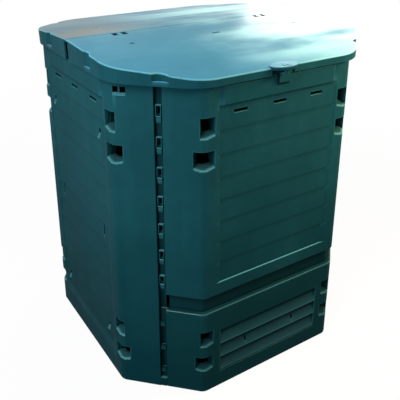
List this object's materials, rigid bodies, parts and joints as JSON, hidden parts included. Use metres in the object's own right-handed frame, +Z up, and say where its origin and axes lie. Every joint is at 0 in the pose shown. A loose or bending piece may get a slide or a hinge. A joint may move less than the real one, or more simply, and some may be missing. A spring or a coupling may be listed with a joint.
{
  "type": "compost bin",
  "caption": "Tapered octagonal plastic garden compost bin with a split hinged lid, a turn latch, vents in its folds and lift-up hatches at the foot.",
  "frame": {"origin": "on the ground in the middle of the bin's footprint", "axes": "+Z up, the front hatch and its latch face -Y, +X to the right seen from the front"},
  "size_m": [0.74, 0.7409, 0.8599],
  "materials": {
    "wall": "moulded, fine texture, slightly weathered",
    "hatch": "moulded, fine texture, slightly weathered",
    "lid": "moulded, smoother than the walls, with a wet sheen",
    "clip": "moulded, plain"
  },
  "bodies": {
    "body": {"left_wall": "wall", "right_wall": "wall", "front_wall": "wall", "rear_wall": "wall", "lid_crossbar": "wall", "front_hinge_pin_left": "clip", "front_hinge_pin_right": "clip", "rear_hinge_pin_left": "clip", "rear_hinge_pin_right": "clip", "front_catch": "wall", "corner_clip_front_left_1": "clip", "corner_clip_front_left_2": "clip", "corner_clip_front_left_3": "clip", "corner_clip_front_left_4": "clip", "corner_clip_front_left_5": "clip", "corner_clip_front_left_6": "clip", "corner_clip_front_left_7": "clip", "corner_clip_front_right_1": "clip", "corner_clip_front_right_2": "clip", "corner_clip_front_right_3": "clip", "corner_clip_front_right_4": "clip", "corner_clip_front_right_5": "clip", "corner_clip_front_right_6": "clip", "corner_clip_front_right_7": "clip", "corner_clip_rear_right_1": "clip", "corner_clip_rear_right_2": "clip", "corner_clip_rear_right_3": "clip", "corner_clip_rear_right_4": "clip", "corner_clip_rear_right_5": "clip", "corner_clip_rear_right_6": "clip", "corner_clip_rear_right_7": "clip", "corner_clip_rear_left_1": "clip", "corner_clip_rear_left_2": "clip", "corner_clip_rear_left_3": "clip", "corner_clip_rear_left_4": "clip", "corner_clip_rear_left_5": "clip", "corner_clip_rear_left_6": "clip", "corner_clip_rear_left_7": "clip"},
    "front_lid": {"front_lid": "lid"},
    "rear_lid": {"rear_lid": "lid"},
    "front_latch": {"front_latch": "lid"},
    "front_hatch": {"front_hatch": "hatch"},
    "rear_hatch": {"rear_hatch": "hatch"}
  },
  "joints": [
    {"name": "front_lid_hinge", "type": "hinge", "parent": "body", "child": "front_lid", "pos_m": [0, -0.016, 0.85294], "axis": [-1, 0, 0], "range_deg": [0, 95]},
    {"name": "rear_lid_hinge", "type": "hinge", "parent": "body", "child": "rear_lid", "pos_m": [0, 0.024, 0.84889], "axis": [1, 0, 0], "range_deg": [0, 95]},
    {"name": "front_latch_turn", "type": "hinge", "parent": "front_lid", "child": "front_latch", "pos_m": [-0.004, -0.3585, 0.83], "axis": [0, 0, -1], "range_deg": [0, 90]},
    {"name": "front_hatch_slide", "type": "slide", "parent": "body", "child": "front_hatch", "axis": [0, 0, 1], "range_m": [0, 0.04]},
    {"name": "rear_hatch_slide", "type": "slide", "parent": "body", "child": "rear_hatch", "axis": [0, 0, 1], "range_m": [0, 0.04]}
  ]
}
